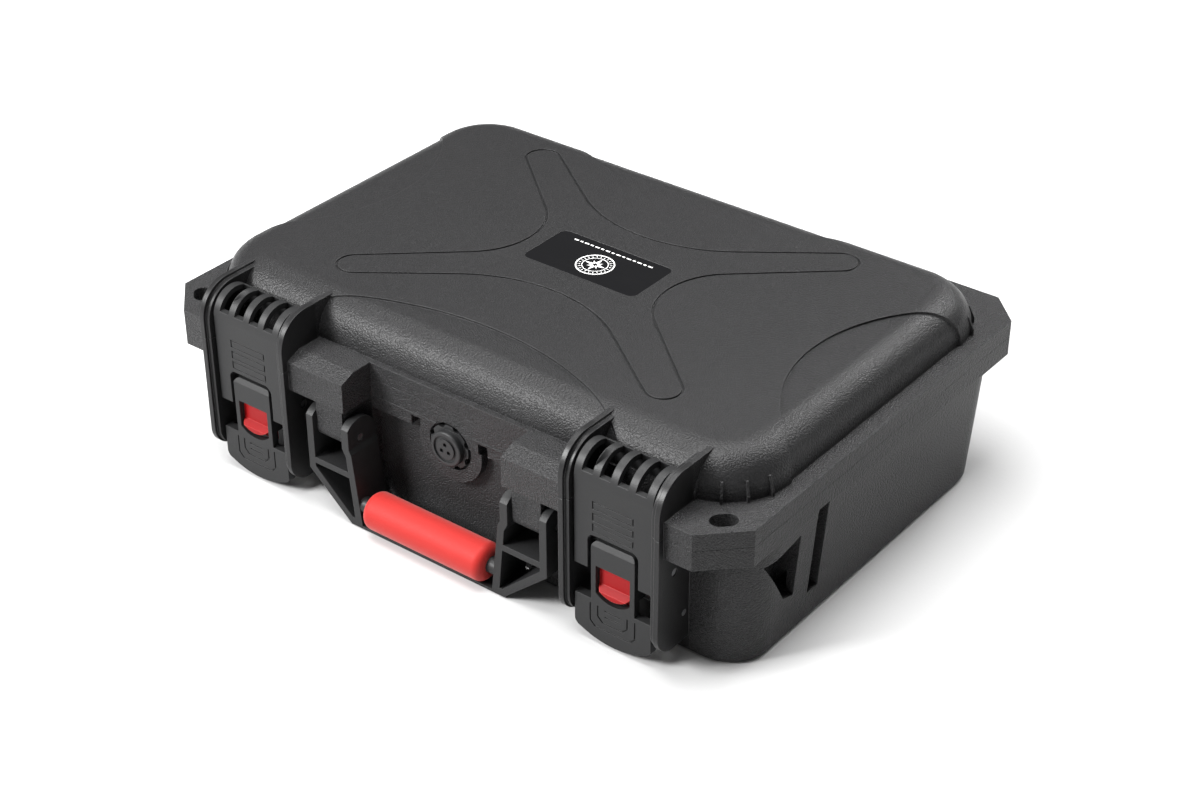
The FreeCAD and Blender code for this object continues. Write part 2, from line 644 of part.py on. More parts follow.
def lever():
    """A narrow head with the button's window, on a wide tab that the fingers pull."""
    face = CLASP_FACE
    eye = 3.6
    head = side_prism(
        -LEVER_HALF, LEVER_HALF,
        (face, 20.0), (face, LEVER_TOP - 2.6), (face + 1.6, LEVER_TOP), (PIVOT_Y, LEVER_TOP - 0.7),
        ((PIVOT_Y + eye * 0.7071, PIVOT_Z + eye * 0.7071), (PIVOT_Y + eye, PIVOT_Z)),
        ((PIVOT_Y + eye * 0.7071, PIVOT_Z - eye * 0.7071), (PIVOT_Y, PIVOT_Z - eye)),
        (-126.2, PIVOT_Z - eye - 0.8), (-126.2, 45.4), (face + 4, 45.4), (face + 4, 20.0))
    corner = 3.5
    k = corner * (1 - math.sqrt(0.5))
    top_shape = front_prism(
        face - 1, PIVOT_Y + eye + 1,
        (-LEVER_HALF, 19.0), (-LEVER_HALF, LEVER_TOP - corner),
        ((-LEVER_HALF + k, LEVER_TOP - k), (-LEVER_HALF + corner, LEVER_TOP)),
        (LEVER_HALF - corner, LEVER_TOP),
        ((LEVER_HALF - k, LEVER_TOP - k), (LEVER_HALF, LEVER_TOP - corner)),
        (LEVER_HALF, 19.0))
    head = head.common(top_shape)
    tab = front_prism(
        face, face + 4.6,
        (-TAB_HALF, TAB_TOP), (-TAB_HALF, 10.0),
        ((-TAB_HALF + 0.9, 7.4), (-TAB_HALF + 3.4, 5.9)),
        ((0, TAB_BOTTOM), (TAB_HALF - 3.4, 5.9)),
        ((TAB_HALF - 0.9, 7.4), (TAB_HALF, 10.0)),
        (TAB_HALF, TAB_TOP))
    walls = [box(s * 11.6 - 1.0, face + 3.5, 33.0, s * 11.6 + 1.0, -119.0, 45.4) for s in (-1, 1)]
    bridge = box(-LEVER_HALF, -120.4, 33.0, LEVER_HALF, -119.0, 45.4)
    shape = fuse(head, tab, bridge, *walls)
    shape = shape.cut(window_prism(9.9, 45.0, 29.8, 4.2, face - 1, face + 5))
    shape = shape.cut([engraved_u(13.4, 9.3, 22.4), engraved_u(9.0, 13.3, 22.4)])
    for z in (17.6, 21.0):
        shape = shape.cut(box(-4.5, face - 1, z - 0.4, 4.5, face + 0.6, z + 0.4))
    shape = shape.cut(rod_x(-LEVER_HALF - 1, LEVER_HALF + 1, PIVOT_Y, PIVOT_Z, PIN_R + RUNNING))
    shape = shape.cut(rod_x(-LEVER_HALF - 1, LEVER_HALF + 1, LINK_Y, LINK_Z, LINK_R))
    return single(shape.removeSplitter())


def window_prism(half, top, low, bulge, y0, y1):
    """A prism with a flat top and a lower edge that bulges down between its two sides."""
    return front_prism(y0, y1, (-half, low), (-half, top), (half, top), (half, low), ((0, low - bulge), (-half, low)))


def button():
    """A pad with a sloped finger rest, a stop flange behind the window, and an arm over the catch pin."""
    face = CLASP_FACE - 0.3
    flange_front = CLASP_FACE + 4.8
    rest_back = face + 3.2
    pad = window_prism(9.65, 44.75, BUTTON_LEDGE_Z, 4.6, face, flange_front + 0.5)
    slope = side_prism(
        -12, 12,
        (face - 1, BUTTON_LEDGE_Z - 2.8), (rest_back, BUTTON_LEDGE_Z + 0.4), (rest_back, 46), (face - 1, 46))
    pad = pad.cut(slope)
    flange = box(-10.4, flange_front, 26.2, 10.4, flange_front + 1.6, 45.2)
    arm = box(-6.0, flange_front + 0.8, 28.3, 6.0, CATCH_Y, 31.0)
    stem = rod_y(flange_front + 0.8, flange_front + 3.4, 0, 39.0, 1.8)
    return single(fuse(pad, flange, arm, stem))


def button_spring():
    """A short coil between the button's flange and the lever's bridge."""
    wire_r = 0.35
    coil_r = 2.7
    y0 = CLASP_FACE + 6.4 + wire_r
    y1 = -120.4 - wire_r
    turns = 3.5
    helix = Part.makeHelix((y1 - y0) / turns, y1 - y0, coil_r)
    section = Part.Wire(Part.makeCircle(wire_r, vec(coil_r, 0, 0), vec(0, 1, 0)))
    coil = Part.Wire(helix.Edges).makePipeShell([section], True, True)
    coil.rotate(vec(0, 0, 0), vec(1, 0, 0), -90)
    coil.translate(vec(0, y0, 39.0))
    return coil


def latch_pin(y, z, r, half):
    return rod_x(-half, half, y, z, r)


# ---------------------------------------------------------------- valve

def valve_body():
    """A flanged stem through the front wall, with a nose for the knob and a bore through it."""
    flange = rod_y(VALVE_SEAT + 0.1, VALVE_SEAT + 1.7 - 1.0, 0, VALVE_Z, 9.1)
    stem = rod_y(VALVE_SEAT + 0.1, -96.5, 0, VALVE_Z, 7.0)
    nose = rod_y(VALVE_SEAT - 3.2, VALVE_SEAT + 0.2, 0, VALVE_Z, 3.5)
    bore = rod_y(VALVE_SEAT + 1.0, -96.0, 0, VALVE_Z, 3.0)
    return single(fuse(flange, stem, nose).cut(bore))


def valve_oring():
    ring = Part.makeTorus(8.05, 0.48, vec(0, VALVE_SEAT + 1.2, VALVE_Z), vec(0, 1, 0))
    return ring


def valve_nut():
    points = []
    for i in range(6):
        a = math.radians(60 * i)
        points.append(vec(NUT_R * math.cos(a), OPENING_FRONT + 0.6, VALVE_Z + NUT_R * math.sin(a)))
    nut = prism(outline(points[0], *points[1:]), vec(0, 4.5, 0))
    return single(nut.cut(rod_y(OPENING_FRONT, OPENING_FRONT + 6, 0, VALVE_Z, 7.05)))


def valve_knob():
    """A turning cap on a notched rim."""
    rim_front = VALVE_SEAT - 3.4
    y0 = VALVE_SEAT - 6.8
    rim = rod_y(rim_front, VALVE_SEAT - 0.3, 0, VALVE_Z, KNOB_R)
    for i in range(8):
        a = math.radians(45 * i + 22.5)
        rim = rim.cut(rod_y(rim_front - 1, VALVE_SEAT, 12.9 * math.cos(a), VALVE_Z + 12.9 * math.sin(a), 2.4))
    cap = rod_y(y0, rim_front + 1, 0, VALVE_Z, KNOB_CAP_R)
    cap = cap.makeFillet(1.0, [e for e in cap.Edges if abs(e.BoundBox.YMax - y0) < 0.01])
    dish = rod_y(y0 - 1, y0 + 0.9, 0, VALVE_Z, 7.4).cut(rod_y(y0 - 1, y0 + 2, 0, VALVE_Z, 5.6))
    knob = fuse(rim, cap).cut(dish)
    for i in range(3):
        a = math.radians(120 * i + 90)
        knob = knob.cut(rod_y(y0 - 1, y0 + 1.2, 2.6 * math.cos(a), VALVE_Z + 2.6 * math.sin(a), 1.1))
    knob = knob.cut(rod_y(VALVE_SEAT - 3.4, VALVE_SEAT, 0, VALVE_Z, 3.5 + RUNNING))
    return single(knob)


# ---------------------------------------------------------------- foam and label

FOAM_PAD_TOP = 13.0
FOAM_TOP = 70.0
POCKETS = (
    # x0, y0, x1, y1
    (-152.0, -84.0, -66.0, 84.0),      # controller
    (-52.0, -84.0, 60.0, 84.0),        # folded drone
    (74.0, -84.0, 148.0, -48.0),       # batteries
    (74.0, -36.0, 148.0, 0.0),
    (74.0, 12.0, 148.0, 48.0),
    (74.0, 60.0, 148.0, 84.0),         # cable and spare propellers
)


def foam_plan(z0, z1):
    """Foam cut to the base's opening, with room for the strap pockets and the front recess."""
    gap = 0.8
    x = OPENING_HALF_X - gap
    foam = block(-x, OPENING_FRONT + gap, z0, x, OPENING_BACK - gap - 2.0, z1, OPENING_CORNER)
    foam = foam.cut(both_sides(box(160.5, -120.0, -10, 185, -45.0, 90)))
    return foam.cut(box(-RECESS_HALF_X - 4, -120, -10, RECESS_HALF_X + 4, OPENING_FRONT + 1.4, 90))


def foam_pad():
    """The flat sheet under the foam block."""
    return single(foam_plan(WALL + 0.3, FOAM_PAD_TOP))


def foam_base():
    """The block with a straight-sided pocket for each thing that the case carries."""
    foam = foam_plan(FOAM_PAD_TOP, FOAM_TOP)
    foam = foam.cut(box(-14, -120, 40, 14, -94.5, 90))
    for x0, y0, x1, y1 in POCKETS:
        foam = foam.cut(box(x0, y0, FOAM_PAD_TOP - 1, x1, y1, FOAM_TOP + 1))
    return single(foam)


def foam_lid():
    gap = 0.6
    slab = block(-LID_CAVITY_HALF_X + gap, LID_CAVITY_FRONT + gap, 86.0, LID_CAVITY_HALF_X - gap,
                 LID_CAVITY_BACK - gap, HEIGHT - LID_WALL - 0.2, LID_CAVITY_CORNER)
    return single(slab.makeFillet(14.8, edges_at(slab, HEIGHT - LID_WALL - 0.2)))


def label_plate():
    return single(label_block(0.0, HEIGHT - 0.8, HEIGHT - 0.15))


# ---------------------------------------------------------------- everything

def save_latches():
    """The left latch, and its mirror image on the right."""
    pieces = {
        "clasp": clasp(),
        "lever": lever(),
        "button": button(),
        "button_spring": button_spring(),
        "pivot_pin": latch_pin(PIVOT_Y, PIVOT_Z, PIN_R, CHEEK_OUT - 0.6),
        "link_pin": latch_pin(LINK_Y, LINK_Z, LINK_R, 20.9),
        "catch_pin": latch_pin(CATCH_Y, CATCH_Z, CATCH_R, CHEEK_OUT - 0.1),
    }
    for name, shape in pieces.items():
        shape.translate(vec(-LATCH_X, 0, 0))
        save(f"latch_left_{name}", shape)
        save(f"latch_right_{name}", mirror_x(shape))


def main():
    os.makedirs("parts", exist_ok=True)
    save("base_shell", base_shell())
    save("lid_shell", lid_shell())
    save("lid_seal", lid_seal())
    save("foam_base", foam_base())
    save("foam_pad", foam_pad())
    save("foam_lid", foam_lid())
    save("label_plate", label_plate())
    save("handle_frame", handle_frame())
    save("handle_grip", handle_grip())
    save("handle_pin_right", handle_pin())
    save("handle_pin_left", mirror_x(handle_pin()))
    for side, middle in (("left", -HINGE_X), ("right", HINGE_X)):
        pin = rod_x(middle - HINGE_HALF, middle + HINGE_HALF, HINGE_Y, HINGE_Z, HINGE_PIN_R)
        save(f"hinge_pin_{side}", pin)
    save_latches()
    save("valve_body", valve_body())
    save("valve_oring", valve_oring())
    save("valve_nut", valve_nut())
    save("valve_knob", valve_knob())


main()
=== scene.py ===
import json
import math

import bmesh
import bpy
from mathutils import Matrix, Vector


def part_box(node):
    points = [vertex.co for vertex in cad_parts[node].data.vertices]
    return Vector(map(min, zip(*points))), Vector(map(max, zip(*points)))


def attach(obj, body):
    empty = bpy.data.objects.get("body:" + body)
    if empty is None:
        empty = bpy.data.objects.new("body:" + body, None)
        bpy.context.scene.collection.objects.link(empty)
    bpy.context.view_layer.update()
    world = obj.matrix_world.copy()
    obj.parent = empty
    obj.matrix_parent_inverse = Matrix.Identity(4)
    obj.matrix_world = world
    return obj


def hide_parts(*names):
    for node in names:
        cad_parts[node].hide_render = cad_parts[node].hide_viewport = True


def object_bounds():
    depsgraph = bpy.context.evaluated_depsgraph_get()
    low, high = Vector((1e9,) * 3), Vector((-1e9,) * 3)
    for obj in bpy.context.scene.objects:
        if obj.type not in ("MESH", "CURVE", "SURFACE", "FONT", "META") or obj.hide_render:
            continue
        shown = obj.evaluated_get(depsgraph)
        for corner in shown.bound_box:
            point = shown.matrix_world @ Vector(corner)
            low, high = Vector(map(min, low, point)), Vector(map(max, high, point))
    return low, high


# The looks of a hard drone carrying case: moulded plastic shells with a pebbled grain, satin latches and
# handle, a soft red grip, red buttons, a printed badge, and the foam inside.
# Metres, in the CAD model's frame.

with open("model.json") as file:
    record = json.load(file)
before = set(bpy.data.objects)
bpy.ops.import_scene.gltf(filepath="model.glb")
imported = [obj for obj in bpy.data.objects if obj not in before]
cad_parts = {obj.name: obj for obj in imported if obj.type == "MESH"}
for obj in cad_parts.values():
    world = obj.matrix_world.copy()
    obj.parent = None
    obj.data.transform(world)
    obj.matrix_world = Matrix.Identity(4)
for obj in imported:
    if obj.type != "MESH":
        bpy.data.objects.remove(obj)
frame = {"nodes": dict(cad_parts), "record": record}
CAD_BOX = [list(corner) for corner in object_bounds()]
MM = 0.001

# ---- places read from the frame ----
FLOOR_Z = CAD_BOX[0][2]
LABEL_LOW, LABEL_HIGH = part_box("label_plate")
CLASP_LOW, CLASP_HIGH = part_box("latch_right_clasp")
LATCH_X = (CLASP_LOW.x + CLASP_HIGH.x) / 2

# ---- places on the shells that no box gives ----
CHEEK_BESIDE_CLASP = 6.8 * MM
CHEEK_HALF = (CLASP_HIGH.x - CLASP_LOW.x) / 2 + CHEEK_BESIDE_CLASP
CHEEK_BACK_Y = -111.5 * MM
RIM_TOP_Z = 86.5 * MM
DOME_LOW_Z = RIM_TOP_Z + 1 * MM
DOME_HIGH_Z = RIM_TOP_Z + 12 * MM

# ---- stage: metres and watts ----
FLOOR_HALF = 6.0
SKY_STRENGTH = 0.22
LIGHT_AIM = (0.0, 0.0, 0.05)
SOFTBOXES = [
    # name, place, width, height, power
    ("overhead", (-0.2, 0.0, 1.8), 1.5, 1.2, 64.0),
    ("front_left", (-1.0, -1.5, 1.2), 0.7, 0.7, 86.0),
    ("high_back", (0.35, 1.3, 1.15), 0.9, 0.3, 22.0),
]

# ---- camera: degrees, metres, and millimetres of lens ----
CAMERA_AZIMUTH = 37.70
CAMERA_ELEVATION = 32.55
CAMERA_DISTANCE = 1.1902
CAMERA_AIM = Vector((0.0109, -0.0068, 0.0350))
CAMERA_LENS = 68.51
CAMERA_SENSOR = 36.0


# ---------------------------------------------------------------- material helpers

# cosine between a face's own normal and the rounded one, where an edge starts and where it is sharp
EDGE_STARTS = 0.995
EDGE_SHARP = 0.86


class Paint:
    """One material's node tree, built with short calls. A value is a number or another node's socket."""

    def __init__(self, name):
        self.material = bpy.data.materials.new(name)
        self.material.use_nodes = True
        self.tree = self.material.node_tree
        self.shader = self.tree.nodes["Principled BSDF"]
        self.place = self.node("ShaderNodeTexCoord").outputs["Object"]

    def node(self, kind, **settings):
        made = self.tree.nodes.new(kind)
        for key, value in settings.items():
            setattr(made, key, value)
        return made

    def feed(self, socket, value):
        if isinstance(value, bpy.types.NodeSocket):
            self.tree.links.new(value, socket)
        else:
            socket.default_value = value

    def math(self, operation, a, b=0.0):
        made = self.node("ShaderNodeMath", operation=operation)
        self.feed(made.inputs[0], a)
        self.feed(made.inputs[1], b)
        return made.outputs[0]

    def noise(self, scale, detail=3.0, roughness=0.55, stretch=None):
        made = self.node("ShaderNodeTexNoise")
        made.inputs["Scale"].default_value = scale
        made.inputs["Detail"].default_value = detail
        made.inputs["Roughness"].default_value = roughness
        self.feed(made.inputs["Vector"], self.stretched(stretch))
        return made.outputs["Fac"]

    def cells(self, scale, smooth=0.6):
        """Rounded pebbles: high in the middle of each cell."""
        made = self.node("ShaderNodeTexVoronoi", feature="SMOOTH_F1")
        made.inputs["Scale"].default_value = scale
        made.inputs["Smoothness"].default_value = smooth
        self.feed(made.inputs["Vector"], self.place)
        return self.math("SUBTRACT", 1.0, made.outputs["Distance"])

    def stretched(self, stretch):
        """The place on the object, scaled along each axis: below 1 draws the pattern out."""
        if stretch is None:
            return self.place
        made = self.node("ShaderNodeMapping")
        made.inputs["Scale"].default_value = stretch
        self.feed(made.inputs["Vector"], self.place)
        return made.outputs["Vector"]

    def axis(self, index):
        made = self.node("ShaderNodeSeparateXYZ")
        self.feed(made.inputs[0], self.place)
        return made.outputs[index]

    def range(self, value, low, high, to_low=0.0, to_high=1.0):
        made = self.node("ShaderNodeMapRange", clamp=True)
        for socket, number in zip(made.inputs, (value, low, high, to_low, to_high)):
            self.feed(socket, number)
        return made.outputs[0]

    def mix(self, amount, a, b):
        made = self.node("ShaderNodeMix", data_type="RGBA")
        self.feed(made.inputs["Factor"], amount)
        self.feed(made.inputs[6], a)
        self.feed(made.inputs[7], b)
        return made.outputs[2]

    def edges(self, radius):
        """The rounded normal of a broken edge, and a mask that is 1 along sharp edges."""
        bevel = self.node("ShaderNodeBevel", samples=6)
        bevel.inputs["Radius"].default_value = radius
        own = self.node("ShaderNodeNewGeometry").outputs["Normal"]
        dot = self.node("ShaderNodeVectorMath", operation="DOT_PRODUCT")
        self.feed(dot.inputs[0], bevel.outputs[0])
        self.feed(dot.inputs[1], own)
        mask = self.range(dot.outputs["Value"], EDGE_STARTS, EDGE_SHARP)
        return bevel.outputs[0], mask

    def bump(self, height, depth, normal, strength=1.0):
        made = self.node("ShaderNodeBump")
        self.feed(made.inputs["Strength"], strength)
        made.inputs["Distance"].default_value = depth
        self.feed(made.inputs["Height"], height)
        if normal is not None:
            self.feed(made.inputs["Normal"], normal)
        return made.outputs[0]

    def finish(self, color, roughness, normal):
        self.feed(self.shader.inputs["Base Color"], color)
        self.feed(self.shader.inputs["Roughness"], roughness)
        self.feed(self.shader.inputs["Normal"], normal)
        return self.material


def rgba(r, g, b):
    return (r, g, b, 1.0)


def shaded(color, factor):
    return rgba(*(c * factor for c in color[:3]))


def moulded(name, color, roughness, grain_scale, grain_depth, edge=0.5 * MM):
    """Moulded plastic: an even grain, slow changes of tone and gloss, and edges a little lighter, partly
    rubbed and partly a painted highlight.
    """
    wear_and_highlight = 0.5
    blotch = 0.10
    paint = Paint(name)
    normal, edge_mask = paint.edges(edge)
    paint.shader.inputs["Specular IOR Level"].default_value = 0.26
    slow = paint.noise(9.0, 4.0)
    fine = paint.noise(grain_scale * 2.3, 2.0)
    pebble = paint.math("ADD", paint.cells(grain_scale), paint.math("MULTIPLY", fine, 0.5))
    tone = paint.mix(slow, shaded(color, 1.0 - blotch), shaded(color, 1.0 + blotch))
    # Edges lighter: partly rubbed plastic, partly a painted highlight along the edges.
    rubs = paint.range(paint.noise(60.0, 5.0), 0.35, 0.75, 0.2 * wear_and_highlight, wear_and_highlight)
    tone = paint.mix(paint.math("MULTIPLY", edge_mask, rubs), tone, shaded(color, 2.0))
    gloss = paint.range(slow, 0.3, 0.7, roughness - 0.03, roughness + 0.05)
    gloss = paint.math("ADD", gloss, paint.range(fine, 0.3, 0.7, -0.03, 0.03))
    return paint.finish(tone, gloss, paint.bump(pebble, grain_depth, normal))


def shell_plastic():
    """The shells: pebbled sides and rim, a shallower grain on the domed top, almost smooth latch cheeks."""
    pebble_scale = 1150.0
    pebble_depth = 0.48 * MM
    on_dome = 0.45
    on_cheek = 0.10
    color = rgba(0.0125, 0.0124, 0.0128)
    paint = Paint("shell_plastic")
    paint.shader.inputs["Specular IOR Level"].default_value = 0.23
    normal, edge_mask = paint.edges(0.6 * MM)
    x = paint.math("ABSOLUTE", paint.axis(0))
    off_latch = paint.math("ABSOLUTE", paint.math("SUBTRACT", x, LATCH_X))
    beside = paint.math("LESS_THAN", off_latch, CHEEK_HALF)
    before = paint.math("LESS_THAN", paint.axis(1), CHEEK_BACK_Y)
    cheek = paint.math("MULTIPLY", beside, before)
    dome = paint.range(paint.axis(2), DOME_LOW_Z, DOME_HIGH_Z)

    slow = paint.noise(7.0, 4.0)
    pebbles = paint.cells(pebble_scale, 0.3)
    grit = paint.noise(1500.0, 2.0, 0.6)
    coarse = paint.math("ADD", pebbles, paint.math("MULTIPLY", grit, 0.8))
    strength = paint.range(dome, 0.0, 1.0, 1.0, on_dome)
    strength = paint.math("MULTIPLY", strength, paint.range(cheek, 0.0, 1.0, 1.0, on_cheek))
    grain = paint.bump(coarse, pebble_depth, normal, strength)

    speckle = paint.range(grit, 0.36, 0.64)
    tone = paint.mix(paint.math("MULTIPLY", speckle, strength), shaded(color, 0.7), shaded(color, 2.6))
    tone = paint.mix(paint.range(slow, 0.3, 0.7, 0.0, 0.25), tone, shaded(color, 1.2))
    # Edges much lighter: partly worn plastic, partly a painted highlight along the edges.
    wear_and_highlight = paint.math("MULTIPLY", edge_mask, paint.range(paint.noise(45.0, 6.0), 0.35, 0.7, 0.3, 0.8))
    tone = paint.mix(wear_and_highlight, tone, shaded(color, 4.5))
    gloss = paint.range(slow, 0.3, 0.7, 0.34, 0.41)
    gloss = paint.math("ADD", gloss, paint.math("MULTIPLY", cheek, -0.03))
    return paint.finish(tone, gloss, grain)


def grip_rubber():
    """Soft overmoulded sleeve: matt, faintly pitted, a little grimy, and darker along its edges."""
    color = rgba(0.34, 0.013, 0.010)
    paint = Paint("grip_rubber")
    paint.shader.inputs["Specular IOR Level"].default_value = 0.2
    paint.shader.inputs["Sheen Weight"].default_value = 0.15
    paint.shader.inputs["Sheen Roughness"].default_value = 0.5
    paint.shader.inputs["Sheen Tint"].default_value = rgba(1.0, 0.75, 0.72)
    normal, edge_mask = paint.edges(0.6 * MM)
    slow = paint.noise(30.0, 4.0)
    pits = paint.noise(1400.0, 3.0, 0.7)
    tone = paint.mix(slow, shaded(color, 0.94), shaded(color, 1.03))
    grime = paint.range(paint.noise(120.0, 6.0, 0.7), 0.62, 0.8, 0.0, 0.12)
    tone = paint.mix(grime, tone, shaded(color, 0.6))
    tone = paint.mix(paint.math("MULTIPLY", edge_mask, 0.3), tone, shaded(color, 0.8))
    gloss = paint.range(pits, 0.3, 0.7, 0.52, 0.64)
    return paint.finish(tone, gloss, paint.bump(pits, 0.10 * MM, normal))


def button_plastic():
    """Red moulded plastic with a faint clear coat, paler along its edges."""
    color = rgba(0.22, 0.002, 0.003)
    paint = Paint("button_plastic")
    paint.shader.inputs["Specular IOR Level"].default_value = 0.14
    paint.shader.inputs["Coat Weight"].default_value = 0.05
    paint.shader.inputs["Coat Roughness"].default_value = 0.2
    normal, edge_mask = paint.edges(0.4 * MM)
    fine = paint.noise(900.0, 3.0)
    tone = paint.mix(paint.noise(60.0), shaded(color, 0.93), shaded(color, 1.04))
    tone = paint.mix(paint.math("MULTIPLY", edge_mask, 0.35), tone, rgba(0.95, 0.12, 0.10))
    gloss = paint.range(fine, 0.3, 0.7, 0.30, 0.40)
    return paint.finish(tone, gloss, paint.bump(fine, 0.03 * MM, normal))


def pin_steel(name, color, roughness):
    """Drawn steel: fine lines along X, the way that the pins run, and a little tarnish."""
    paint = Paint(name)
    paint.shader.inputs["Metallic"].default_value = 1.0
    normal, edge_mask = paint.edges(0.25 * MM)
    lines = paint.noise(900.0, 3.0, 0.6, stretch=(0.05, 1.0, 1.0))
    tarnish = paint.noise(260.0, 5.0, 0.7)
    tone = paint.mix(tarnish, shaded(color, 0.75), shaded(color, 1.15))
    tone = paint.mix(paint.math("MULTIPLY", edge_mask, 0.5), tone, shaded(color, 1.5))
    gloss = paint.range(lines, 0.3, 0.7, roughness - 0.06, roughness + 0.1)
    return paint.finish(tone, gloss, paint.bump(lines, 0.02 * MM, normal))


def seal_rubber():
    """Black rubber with a grey bloom."""
    color = rgba(0.018, 0.018, 0.019)
    paint = Paint("seal_rubber")
    normal, edge_mask = paint.edges(0.5 * MM)
    bloom = paint.noise(140.0, 6.0, 0.7)
    skin = paint.noise(1200.0, 3.0)
    tone = paint.mix(paint.range(bloom, 0.45, 0.75), color, shaded(color, 1.9))
    tone = paint.mix(paint.math("MULTIPLY", edge_mask, 0.2), tone, shaded(color, 2.2))
    gloss = paint.range(bloom, 0.3, 0.7, 0.55, 0.72)
    return paint.finish(tone, gloss, paint.bump(skin, 0.06 * MM, normal))


def badge_print(name, color, roughness):
    """Satin print on a thin plate: faint orange peel and hairline rubs."""
    paint = Paint(name)
    normal, edge_mask = paint.edges(0.3 * MM)
    peel = paint.noise(520.0, 2.0)
    rubs = paint.noise(700.0, 4.0, 0.6, stretch=(0.08, 1.0, 1.0))
    paint.shader.inputs["Specular IOR Level"].default_value = 0.06
    tone = paint.mix(paint.range(rubs, 0.6, 0.8, 0.0, 0.25), color, shaded(color, 1.35))
    tone = paint.mix(paint.math("MULTIPLY", edge_mask, 0.3), tone, shaded(color, 1.5))
    gloss = paint.range(rubs, 0.3, 0.7, roughness - 0.05, roughness + 0.08)
    return paint.finish(tone, gloss, paint.bump(peel, 0.03 * MM, normal))


def foam_cells(name, color):
    """Cut open-cell foam: fine pores darkened with painted shade between grains painted lighter, and slow
    changes of tone.
    """
    paint = Paint(name)
    paint.shader.inputs["Specular IOR Level"].default_value = 0.15
    paint.shader.inputs["Sheen Weight"].default_value = 0.25
    paint.shader.inputs["Sheen Roughness"].default_value = 0.7
    pores = paint.cells(1300.0, 0.3)
    clumps = paint.noise(500.0, 4.0, 0.7)
    height = paint.math("ADD", pores, clumps)
    # Painted shade: darker down in the pores, lighter on the grain tops.
    painted_pore_shade = paint.range(pores, 0.35, 0.8)
    tone = paint.mix(painted_pore_shade, shaded(color, 0.35), shaded(color, 1.25))
    tone = paint.mix(paint.range(paint.noise(12.0, 3.0), 0.3, 0.7, 0.0, 0.35), tone, shaded(color, 0.75))
    gloss = paint.range(clumps, 0.3, 0.7, 0.85, 0.97)
    return paint.finish(tone, gloss, paint.bump(height, 0.5 * MM, None))


# ---------------------------------------------------------------- mesh helpers

def piece(name, mesh, material, body):
    """A new visible piece, with its material, on its body."""
    made = bpy.data.objects.new(name, mesh)
    bpy.context.scene.collection.objects.link(made)
    made.data.materials.append(material)
    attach(made, body)


def apply_modifiers(obj):
    """Gives the object its mesh with the modifiers applied, and leaves no modifier on it."""
    evaluated = obj.evaluated_get(bpy.context.evaluated_depsgraph_get())
    mesh = bpy.data.meshes.new_from_object(evaluated)
    obj.modifiers.clear()
    obj.data = mesh


def smooth(mesh):
    for polygon in mesh.polygons:
        polygon.use_smooth = True


# ---------------------------------------------------------------- badge

BADGE_CENTRE = (LABEL_LOW + LABEL_HIGH) / 2
PRINT_LOW = LABEL_HIGH.z
PRINT_HIGH = LABEL_HIGH.z + 0.06 * MM

RING_STEPS = 72
TICKS = 24
POINTS = 8
SHOULDER_RUN = 1.6      # how far along a spoke it is widest, in half widths from its inner end
ROSE_SHIFT_Y = -2.4 * MM
# inner and outer radius
INNER_RING = (6.6 * MM, 7.0 * MM)
OUTER_RING = (9.6 * MM, 10.3 * MM)
# inner and outer radius, and half the width
SHORT_TICK = (7.6 * MM, 9.3 * MM, 0.28 * MM)
LONG_TICK = (7.2 * MM, 9.3 * MM, 0.28 * MM)
MINOR_POINT = (0.9 * MM, 4.4 * MM, 0.6 * MM)
MAIN_POINT = (0.9 * MM, 6.3 * MM, 0.95 * MM)

DASHES_EACH_SIDE = 7
DASH_PITCH = 3.4 * MM
DASH_SHIFT_Y = 12.4 * MM
DASH_THICKNESS = 0.9 * MM
LONG_DASH_HALF = 1.35 * MM
SHORT_DASH_HALF = 0.9 * MM


def flat_shape(bm, points):
    """A thin printed shape, standing just proud of the badge."""
    low = [bm.verts.new((x, y, PRINT_LOW)) for x, y in points]
    high = [bm.verts.new((x, y, PRINT_HIGH)) for x, y in points]
    bm.faces.new(high)
    bm.faces.new(low[::-1])
    for i in range(len(points)):
        j = (i + 1) % len(points)
        bm.faces.new((low[i], low[j], high[j], high[i]))


def ring(bm, centre, inner, outer):
    """A flat ring made of short four-sided pieces."""
    for i in range(RING_STEPS):
        a = 2 * math.pi * i / RING_STEPS
        b = 2 * math.pi * (i + 1) / RING_STEPS
        corners = [(inner, a), (outer, a), (outer, b), (inner, b)]
        flat_shape(bm, [(centre.x + r * math.cos(t), centre.y + r * math.sin(t)) for r, t in corners])


def spoke(bm, centre, angle, inner, outer, half_width):
    """A pointed sliver that runs outward, widest near its inner end."""
    out = Vector((math.cos(angle), math.sin(angle)))
    side = Vector((-out.y, out.x))
    shoulder = centre + out * (inner + SHOULDER_RUN * half_width)
    points = [centre + out * inner, shoulder - side * half_width,
              centre + out * outer, shoulder + side * half_width]
    flat_shape(bm, points)


def compass_rose(bm, centre):
    """An eight-pointed star in a ring, and a wider ring, with ticks between the two rings."""
    ring(bm, centre, *INNER_RING)
    ring(bm, centre, *OUTER_RING)
    for i in range(TICKS):
        spoke(bm, centre, 2 * math.pi * i / TICKS, *(SHORT_TICK if i % 3 else LONG_TICK))
    for i in range(POINTS):
        spoke(bm, centre, 2 * math.pi * i / POINTS, *(MINOR_POINT if i % 2 else MAIN_POINT))


def dash_row(bm):
    """A row of dashes, long and short by turns, between the rose and the hinge."""
    low_y = BADGE_CENTRE.y + DASH_SHIFT_Y
    high_y = low_y + DASH_THICKNESS
    for i in range(-DASHES_EACH_SIDE, DASHES_EACH_SIDE + 1):
        x = BADGE_CENTRE.x + i * DASH_PITCH
        half = LONG_DASH_HALF if i % 2 else SHORT_DASH_HALF
        flat_shape(bm, [(x - half, low_y), (x + half, low_y), (x + half, high_y), (x - half, high_y)])


